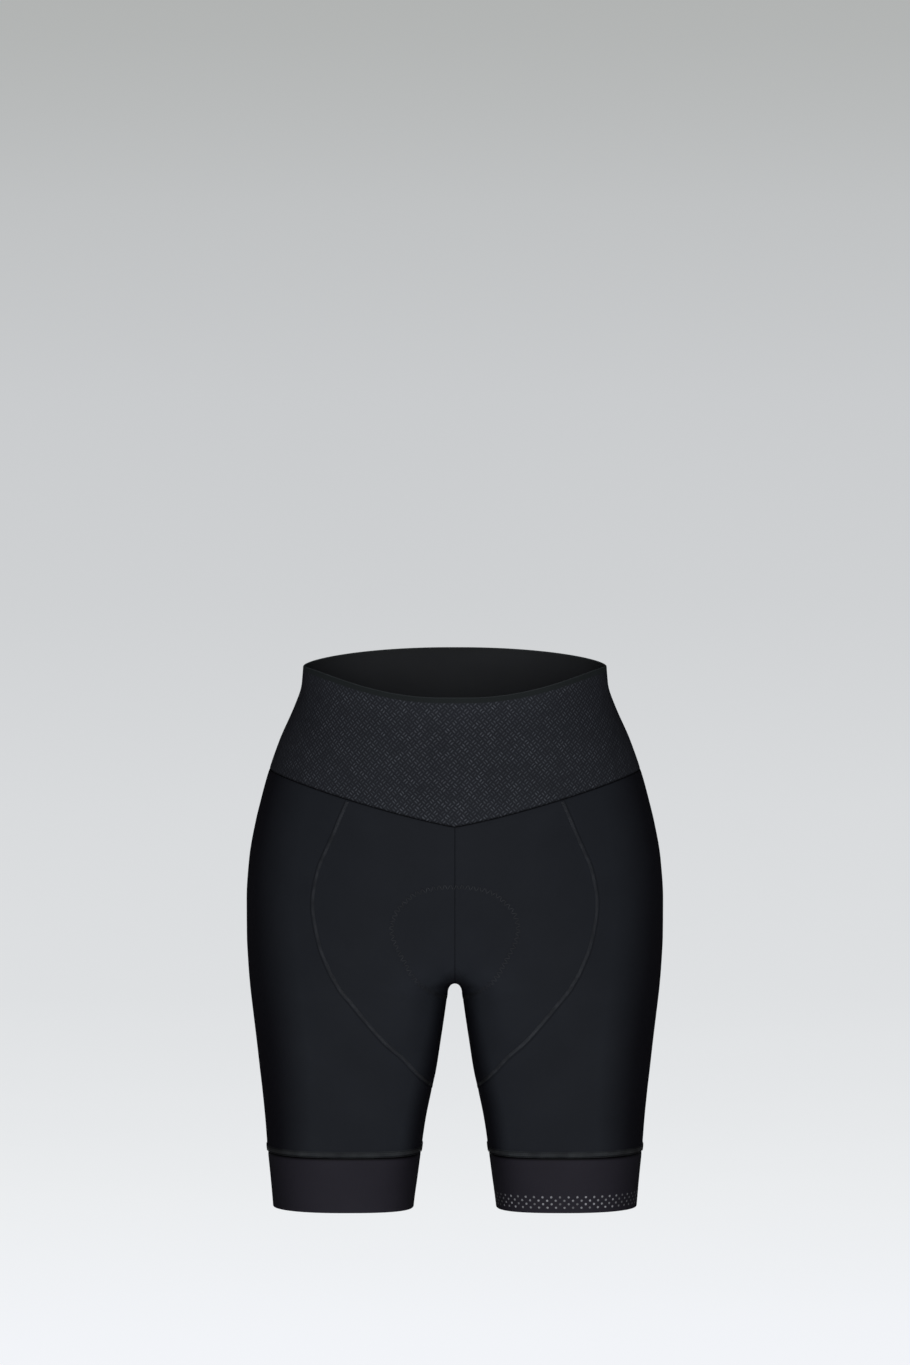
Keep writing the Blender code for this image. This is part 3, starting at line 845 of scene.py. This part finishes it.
# the seat pad's stitch line: how far it lies from the centre, in mm, at each row, front then back
padColumns = ("row", "width")
padFront = (
    (3.20, 0.0), (3.22, 5.0), (3.35, 12.3), (3.55, 20.5), (3.75, 26.8), (4.0, 33.6), (4.5, 40.7),
    (5.05, 47.8), (5.7, 52.3), (6.3, 53.6), (7.0, 50.8), (7.6, 47.2), (8.2, 45.0), (9.15, 46.5),
    (10.15, 48.4), (11.2, 47.0), (12.3, 43.5), (13.2, 41.0), (14.0, 40.0),
)
padBack = (
    (14.0, 40.0), (13.0, 42.5), (12.0, 48.0), (11.0, 55.0), (10.0, 62.0), (9.0, 68.0), (8.0, 71.5),
    (7.2, 70.0), (6.5, 64.0), (6.0, 55.0), (5.6, 43.0), (5.35, 30.0), (5.22, 15.0), (5.2, 0.0),
)
padSettings = {"dip": 0.32, "dipReach": 2.6, "points": 260, "smoothing": 15}  # mm, then counts


def padLine(rows, firstEdge, lastEdge, centreFirst):
    knots = dict(zip(padColumns, np.array(rows).T))
    ticks = np.linspace(0, len(rows) - 1, padSettings["points"])
    row = np.interp(ticks, np.arange(len(rows)), knots["row"])
    width = np.interp(ticks, np.arange(len(rows)), knots["width"]) * mm
    share = width / panelWidth(firstEdge, lastEdge, row)
    if not centreFirst:
        share = 1 - share
    z, angle = panelAt(firstEdge, lastEdge, row, share)
    return skin(z, angle)


def smoothRing(points, count):
    # each point of a closed line goes to the mean of those around it
    kernel = np.ones(count) / count
    wrap = 20  # points laid over at each end, more than half of count
    line = np.concatenate([points[-wrap:], points, points[:wrap]])
    return np.stack([np.convolve(line[:, k], kernel, "same")[wrap:-wrap] for k in range(3)], -1)


def padDip(points):
    # the cloth is pressed in along the pad's stitch line
    distance = edgeDistance(points, [padRing, padRing[[-1, 0]]])
    return -padSettings["dip"] * mm * np.exp(-((distance / (padSettings["dipReach"] * mm)) ** 2))


padHalf = np.concatenate([
    padLine(padFront, "frontCentre", "frontSeam", True),
    padLine(padBack, "backSeam", "backCentre", False)[1:],
])
padRing = np.concatenate([padHalf, (padHalf * (-1, 1, 1))[::-1][1:-1]])
padRing = smoothRing(padRing, padSettings["smoothing"])
padNormals = outward(padRing)
for step in range(3):
    gap = bodyDistance(padRing[:, 0], padRing[:, 1], sectionAt(padRing[:, 2]))
    padRing = padRing - padNormals * gap[:, None]

frontPoints, backPoints, sidePoints, lowerPoints = (
    skin(*grid) for grid in (frontGrid, backGrid, sideGrid, lowerGrid)
)
for points, column in ((frontPoints, 0), (backPoints, -1)):
    points[points[:, column, 2] > crotch, column, 0] = 0
bandPoints = skin(*bandGrid, cut["bandInset"])
joinCount = len(joinRows)
bodyParts = {"wall": cloth["bodyWall"], "rims": [], "material": bodyCloth}
halves = {
    "front_panel": dict(
        grids=[(frontPoints, gridUv(frontPoints))], extra=padDip, **bodyParts,
        seams=[("panelTop", frontPoints[0]), ("centre", frontPoints[:, 0]), ("curved", frontPoints[:, -1])],
    ),
    "back_panel": dict(
        grids=[(backPoints, gridUv(backPoints, fromLast=True))], extra=padDip, **bodyParts,
        seams=[("panelTop", backPoints[0]), ("curved", backPoints[:, 0]), ("centre", backPoints[:, -1])],
    ),
    "side_panel": dict(
        grids=[(sidePoints, clothUv(*sideGrid)), (lowerPoints, clothUv(*lowerGrid))], **bodyParts,
        extra=lambda points: coverBulge(points[..., 2]),
        seams=[
            ("panelTop", sidePoints[0]), ("curved", sidePoints[:, 0]), ("curved", sidePoints[:, -1]),
            ("curved", lowerPoints[0, : joinCount + 1]), ("curved", lowerPoints[0, -joinCount - 1 :]),
            ("bandJoin", lowerPoints[-1]),
        ],
    ),
    "leg_band": dict(
        grids=[(bandPoints, clothUv(*bandGrid))], wall=cloth["bandWall"], material=bandCloth,
        rims=[bandPoints[-1]], seams=[("bandJoin", bandPoints[0])],
    ),
}
pieces = {}
for side, mirrored in (("left", False), ("right", True)):
    for name, parts in halves.items():
        pieces[f"{name}_{side}"] = shell(f"{name}_{side}_cloth", mirrored=mirrored, **parts)
    print("panels of the", side, "leg made")

for name, isFront in (("yoke_front", True), ("yoke_back", False)):
    half = yokePoint(*yokeHalf(isFront))
    half[:, 0 if isFront else -1, 0] = 0
    other = (half * (-1, 1, 1))[:, ::-1]
    points = np.concatenate([other[:, :-1], half] if isFront else [half, other[:, 1:]], 1)
    u = lengthsAlong(np.moveaxis(points, 1, 0)).T
    centre = points.shape[1] // 2
    uv = np.stack([u - u[:, centre : centre + 1], points[..., 2]], -1) / mm
    seams = [("yokeEdge", points[-1]), ("side", points[:, 0]), ("side", points[:, -1])]
    pieces[name] = shell(f"{name}_cloth", [(points, uv)], cloth["yokeWall"], seams, [points[0]], yokeCloth)
print("yoke made")


def namedAttribute(tree, name, kind="FLOAT_VECTOR"):
    node = addNode(tree, "GeometryNodeInputNamedAttribute", {"Name": name}, data_type=kind)
    return node.outputs["Attribute"]


def placeOnPoints(tree, given, made, shape, rotation, material, scale=None):
    # the shape on every point, realised and dressed in its material
    points = addNode(tree, "GeometryNodeMeshToPoints", {0: given["Geometry"]}).outputs[0]
    inputs = {"Points": points, "Instance": shape, "Rotation": rotation}
    if scale is not None:
        inputs["Scale"] = scale
    laid = addNode(tree, "GeometryNodeInstanceOnPoints", inputs).outputs[0]
    real = addNode(tree, "GeometryNodeRealizeInstances", {0: laid}).outputs[0]
    dressed = addNode(tree, "GeometryNodeSetMaterial", {"Geometry": real, "Material": material})
    tree.links.new(dressed.outputs[0], made[0])


def laidThreads():
    # small threads laid on points that carry their direction, facing and length
    tree, given, made = nodeGroup(
        "laidThreads", "GeometryNodeTree",
        [("Geometry", "NodeSocketGeometry", None), ("Radius", "NodeSocketFloat", 0.0002),
         ("Flatness", "NodeSocketFloat", 0.7), ("Thread", "NodeSocketMaterial", None)],
        [("Geometry", "NodeSocketGeometry")],
    )
    bead = addNode(tree, "GeometryNodeMeshUVSphere", {"Segments": 6, "Rings": 4, "Radius": 1.0})
    smooth = addNode(tree, "GeometryNodeSetShadeSmooth", {0: bead.outputs[0]}).outputs[0]
    along = {"Vector": namedAttribute(tree, "along")}
    along = addNode(tree, "FunctionNodeAlignRotationToVector", along, axis="X").outputs[0]
    turn = {"Rotation": along, "Vector": namedAttribute(tree, "out")}
    turn = addNode(tree, "FunctionNodeAlignRotationToVector", turn, axis="Z", pivot_axis="X").outputs[0]
    halfLong = multiply(tree, namedAttribute(tree, "long", "FLOAT"), 0.5)
    flatRadius = multiply(tree, given["Radius"], given["Flatness"])
    size = addNode(tree, "ShaderNodeCombineXYZ", {0: halfLong, 1: given["Radius"], 2: flatRadius})
    placeOnPoints(tree, given, made, smooth, turn, given["Thread"], size.outputs[0])
    return tree


def printedDots():
    # thin round tablets laid on points that carry their facing
    tree, given, made = nodeGroup(
        "printedDots", "GeometryNodeTree",
        [("Geometry", "NodeSocketGeometry", None), ("Radius", "NodeSocketFloat", 0.001),
         ("Depth", "NodeSocketFloat", 0.0002), ("Print", "NodeSocketMaterial", None)],
        [("Geometry", "NodeSocketGeometry")],
    )
    tablet = {"Vertices": 14, "Radius": given["Radius"], "Depth": given["Depth"]}
    tablet = addNode(tree, "GeometryNodeMeshCylinder", tablet).outputs[0]
    turn = {"Vector": namedAttribute(tree, "out")}
    turn = addNode(tree, "FunctionNodeAlignRotationToVector", turn, axis="Z").outputs[0]
    placeOnPoints(tree, given, made, tablet, turn, given["Print"])
    return tree


def layPoints(name, tree, settings, places, out, along=None, long=None):
    # a plain mesh from the tree's shape on every place
    mesh = bpy.data.meshes.new(name)
    mesh.from_pydata(places.tolist(), [], [])
    for label, values in (("out", out), ("along", along)):
        if values is not None:
            attribute = mesh.attributes.new(label, "FLOAT_VECTOR", "POINT")
            attribute.data.foreach_set("vector", values.astype(np.float32).ravel())
    if long is not None:
        mesh.attributes.new("long", "FLOAT", "POINT").data.foreach_set("value", long.astype(np.float32))
    carrier = bpy.data.objects.new(name, mesh)
    bpy.context.collection.objects.link(carrier)
    modifier = carrier.modifiers.new(tree.name, "NODES")
    modifier.node_group = tree
    for item in tree.interface.items_tree:
        if item.item_type == "SOCKET" and item.in_out == "INPUT" and item.name in settings:
            modifier[item.identifier] = settings[item.name]
    bpy.context.view_layer.update()
    graph = bpy.context.evaluated_depsgraph_get()
    evaluated = carrier.evaluated_get(graph)
    result = bpy.data.meshes.new_from_object(evaluated, preserve_all_data_layers=True, depsgraph=graph)
    carrier.modifiers.remove(modifier)
    carrier.data = result
    result.name = name
    return carrier


def evenLine(points, step, closed=False):
    # points at equal steps along a line
    if closed:
        points = np.concatenate([points, points[:1]])
    length = lengthsAlong(points)
    count = max(2, int(round(length[-1] / step)))
    places = np.linspace(0, length[-1], count + 1)
    if closed:
        places = places[:-1]
    return pointsAt(points, length, places)


def lineFrames(points, closed=False):
    # the surface's outward normals, the way along and the way across at each point
    out = outward(points)
    if closed:
        along = np.roll(points, -1, 0) - np.roll(points, 1, 0)
    else:
        along = np.gradient(points, axis=0)
    along = unit(along - (along * out).sum(-1, keepdims=True) * out)
    return out, along, np.cross(out, along)


def gather(*runs):
    # runs of stitches joined into one; a run is places, facings, directions and lengths
    return [np.concatenate(parts) for parts in zip(*runs)]


def straightStitches(line, step, offset, lift, closed=False):
    gap = 0.25  # the share of each step between two stitches
    points = evenLine(line, step, closed)
    out, along, across = lineFrames(points, closed)
    places = points + across * offset + out * (lift - seamValley(np.abs(offset)))
    return places, out, along, np.full(len(places), step * (1 - gap))


def zigzagStitches(line, step, offset, width, lift, closed=False, bothWays=False):
    crossLift = 0.06 * mm  # the second zigzag lies over the first
    points = evenLine(line, step, closed)
    out, along, across = lineFrames(points, closed)
    runs = []
    for way in ((1, -1) if bothWays else (1,)):
        sign = np.where(np.arange(len(points)) % 2 == 0, 1.0, -1.0)[:, None] * way
        direction = unit(along * step + across * width * sign)
        depth = lift - seamValley(np.abs(offset)) + (crossLift if way < 0 else 0)
        places = points + across * offset + out * depth
        runs.append((places, out, direction, np.full(len(places), math.hypot(step, width))))
    return gather(*runs)


# mm; lift is how far the threads lie above the cloth that their seam has pulled in
stitchSettings = {
    "seam": {
        "radius": 0.17, "step": 1.2, "offset": 2.2, "width": 2.6, "lift": 0.05,
        "needleStep": 2.4, "needleOffsets": (0.85, 3.6), "needleLift": 0.10,
    },
    "cover": {
        "radius": 0.22, "step": 1.7, "middle": -407.3, "width": 4.4, "lift": 0.08,
        "needleStep": 2.2, "needles": (-404.9, -409.8), "needleLift": 0.10,
    },
    "pad": {"radius": 0.25, "step": 2.4, "width": 5.0, "lift": 0.04},
}
threadTree = laidThreads()
dotTree = printedDots()
trim = {}


def stitchPiece(name, run, radius, material, flatness=0.7):
    settings = {"Radius": radius * mm, "Flatness": flatness, "Thread": material}
    trim[name] = layPoints(name, threadTree, settings, *run)


def stitchBothLegs(name, run, radius, material):
    flip = np.array([-1, 1, 1])
    stitchPiece(f"{name}_left", run, radius, material)
    stitchPiece(f"{name}_right", [*(part * flip for part in run[:3]), run[3]], radius, material)


def seamStitches(edge, seam):
    # a zigzag between two rows of needle threads, on the centre panel's side of a curved seam
    line = skin(*edgeAt(edge, np.linspace(0.12, rowTotal - 0.25, 500)))
    across = lineFrames(line[200:203])[2][1]
    inward = -np.sign(across[0])
    step, offset, width, lift = (seam[name] * mm for name in ("step", "offset", "width", "lift"))
    runs = [zigzagStitches(line, step, inward * offset, width, lift, bothWays=True)]
    for needleOffset in seam["needleOffsets"]:
        needle = inward * needleOffset * mm
        runs.append(straightStitches(line, seam["needleStep"] * mm, needle, seam["needleLift"] * mm))
    return gather(*runs)


def legRing(height, count=400):
    angles = np.linspace(-pi, pi, count + 1)[:-1]
    return skin(np.full(count, height), angles)


def coverStitches(cover):
    # a zigzag between two needle threads, round the strip above a leg's band
    top = cloth["coverBulge"] + cloth["seamDip"]
    middle = legRing(cover["middle"] * mm)
    step, width, lift = cover["step"] * mm, cover["width"] * mm, top + cover["lift"] * mm
    runs = [zigzagStitches(middle, step, 0.0, width, lift, closed=True, bothWays=True)]
    needleStep, needleLift = cover["needleStep"] * mm, top + cover["needleLift"] * mm
    for height in cover["needles"]:
        runs.append(straightStitches(legRing(height * mm), needleStep, 0.0, needleLift, closed=True))
    return gather(*runs)


seamRun = gather(*(seamStitches(edge, stitchSettings["seam"]) for edge in ("frontSeam", "backSeam")))
stitchBothLegs("seam_threads", seamRun, stitchSettings["seam"]["radius"], seamThread)
coverRun = coverStitches(stitchSettings["cover"])
stitchBothLegs("cover_threads", coverRun, stitchSettings["cover"]["radius"], coverThread)
print("seam and band stitches laid")

padSet = stitchSettings["pad"]
padLift = cloth["seamDip"] + padSet["lift"] * mm
padRun = zigzagStitches(padRing, padSet["step"] * mm, 0.0, padSet["width"] * mm, padLift, closed=True)
stitchPiece("pad_stitch_line", padRun, padSet["radius"], padThread, 0.6)
print("pad stitch line laid")

dotSettings = {  # mm, then counts
    "radius": 0.95, "depth": 0.16, "rowStep": 3.0, "lowest": 4.9, "rows": 4, "columns": 56,
}


def dotRow(row):
    # the places of one row of dots round the band, every other row set half a step on
    height = cut["hem"] + (dotSettings["lowest"] + row * dotSettings["rowStep"]) * mm
    line = skin(np.full(1201, height), np.linspace(-pi, pi, 1201), cut["bandInset"])
    length = lengthsAlong(line)
    columns = dotSettings["columns"]
    places = (np.arange(columns) + (0.5 if row % 2 else 0.0)) / columns * length[-1]
    return pointsAt(line, length, places)


dotPlaces = np.concatenate([dotRow(row) for row in range(dotSettings["rows"])])
dotInputs = {"Radius": dotSettings["radius"] * mm, "Depth": dotSettings["depth"] * mm, "Print": dotPrint}
trim["band_dots"] = layPoints("band_dots", dotTree, dotInputs, dotPlaces, outward(dotPlaces))
print("dots printed")

for name, piece in pieces.items():
    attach(piece, "root")
    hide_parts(name)
for name, piece in trim.items():
    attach(piece, "root")

cameraSettings = {
    "place": (0.0, -6.0, 0.2276), "target": (0.0001, 0.0, -0.0123), "lens": 186.2, "sensor": 36, "reach": 60,
}
stageSettings = {  # metres; the floor runs back from its front, then bends up into the wall
    "floor": -0.80, "front": -9.0, "wallDistance": 7.2, "wallTop": 5.0, "bend": 1.6, "width": 14.0,
    "seenFrom": -4.0,  # the floor in front of this never shows
    "floorSteps": 59, "bendSteps": 139, "wallSteps": 40,
}
toneColumns = ("share", "red", "green", "blue")  # share of the picture's height, from its top
# the backdrop's painted glow: a grey that lightens from the top of the picture to its foot
toneRows = (
    (0.00, 176, 178, 177), (0.08, 184, 186, 186), (0.15, 192, 194, 195), (0.29, 202, 204, 206),
    (0.44, 208, 210, 212), (0.59, 218, 220, 222), (0.73, 224, 226, 228), (0.88, 237, 239, 241),
    (0.98, 244, 246, 250), (1.20, 246, 248, 252),
)


def linearTone(value):
    value = np.asarray(value, float) / 255
    return np.where(value > 0.04045, ((value + 0.055) / 1.055) ** 2.4, value / 12.92)


def sweepProfile(stage):
    # how far back and how high the backdrop lies, from its front edge to its top
    floor, wall, bend = stage["floor"], stage["wallDistance"], stage["bend"]
    turn = np.linspace(0, pi / 2, stage["bendSteps"] + 1)
    flat = np.linspace(stage["front"], wall - bend, stage["floorSteps"] + 1)[:-1]
    rise = np.linspace(floor + bend, stage["wallTop"], stage["wallSteps"] + 1)[1:]
    curve = np.stack([wall - bend + bend * np.sin(turn), floor + bend * (1 - np.cos(turn))], -1)
    start = np.stack([flat, np.full(len(flat), floor)], -1)
    return np.concatenate([start, curve, np.stack([np.full(len(rise), wall), rise], -1)])


def sweepGlow(profile):
    # the backdrop's painted glow at each point of its profile, by how high the camera sees it
    (_, near, high), target = cameraSettings["place"], cameraSettings["target"]
    downward = (high - target[2]) / -near
    ahead = np.maximum(profile[:, 0] - near, 0.05)
    climb = (profile[:, 1] - high) / ahead + downward
    viewHeight = cameraSettings["sensor"] / cameraSettings["lens"]
    unseen = profile[:, 0] < stageSettings["seenFrom"]
    share = np.where(unseen, toneRows[-1][0], 0.5 - climb / viewHeight)
    tones = dict(zip(toneColumns, np.array(toneRows).T))
    read = [np.interp(share, tones["share"], tones[name]) for name in toneColumns[1:]]
    return linearTone(np.stack(read, -1))


def glowingBackdrop():
    # painted light: the backdrop glows with its gradient in place of lamplight falling on it
    paper, tree, shader = newMaterial("backdrop painted glow")
    place = addNode(tree, "ShaderNodeTexCoord").outputs["Object"]
    shade = maths(tree, "MULTIPLY_ADD", noise(tree, place, 1.2, 3.0), 0.02, 0.965)
    glow = {0: readAttribute(tree, "paintedGlow", "Vector"), "Scale": shade}
    glow = addNode(tree, "ShaderNodeVectorMath", glow, operation="SCALE").outputs[0]
    tree.links.new(glow, shader["Emission Color"])
    shader["Emission Strength"].default_value = 1.0
    shader["Base Color"].default_value = (0.03, 0.03, 0.03, 1)
    shader["Roughness"].default_value = 0.95
    shader["Specular IOR Level"].default_value = 0.0
    return paper


def studioSweep():
    profile = sweepProfile(stageSettings)
    half = stageSettings["width"] / 2
    mesh = bpy.data.meshes.new("studio sweep")
    vertices = [(side * half, y, z) for y, z in profile.tolist() for side in (-1, 1)]
    faces = [(2 * i, 2 * i + 1, 2 * i + 3, 2 * i + 2) for i in range(len(profile) - 1)]
    mesh.from_pydata(vertices, [], faces)
    mesh.shade_smooth()
    paintedGlow = mesh.attributes.new("paintedGlow", "FLOAT_VECTOR", "POINT")
    paintedGlow.data.foreach_set("vector", np.repeat(sweepGlow(profile), 2, axis=0).astype(np.float32).ravel())
    mesh.materials.append(glowingBackdrop())
    sweep = bpy.data.objects.new("studio sweep", mesh)
    bpy.context.collection.objects.link(sweep)
    sweep.visible_glossy = False
    return sweep


sweep = studioSweep()

lightSettings = {  # metres and watts
    "key": {"place": (-1.1, -6.3, 0.8), "size": 2.6, "power": 108},
    "fill": {"place": (1.2, -6.3, 0.4), "size": 2.6, "power": 100},
    "low": {"place": (0.0, -5.6, -1.4), "size": 1.8, "power": 62},
}
lightTarget = (0.0, 0.0, -0.2)
worldSettings = {"colour": (0.9, 0.93, 1.0, 1), "strength": 0.16}


def setUp(name, data, place, target):
    # an object at its place, turned to look at its target
    thing = bpy.data.objects.new(name, data)
    thing.location = place
    thing.rotation_euler = (Vector(target) - Vector(place)).to_track_quat("-Z", "Y").to_euler()
    bpy.context.collection.objects.link(thing)
    return thing


for name, settings in lightSettings.items():
    light = bpy.data.lights.new(name, "AREA")
    light.shape = "DISK"
    light.size = settings["size"]
    light.energy = settings["power"]
    setUp(name, light, settings["place"], lightTarget)

world = bpy.data.worlds.new("studio")
world.use_nodes = True
background = world.node_tree.nodes["Background"].inputs
background["Color"].default_value = worldSettings["colour"]
background["Strength"].default_value = worldSettings["strength"]
bpy.context.scene.world = world
bpy.context.scene.view_settings.view_transform = "Standard"

cameraData = bpy.data.cameras.new("camera")
cameraData.lens = cameraSettings["lens"]
cameraData.sensor_width = cameraSettings["sensor"]
cameraData.clip_end = cameraSettings["reach"]
camera = setUp("camera", cameraData, cameraSettings["place"], cameraSettings["target"])
bpy.context.scene.camera = camera
print("stage, lights and camera set")
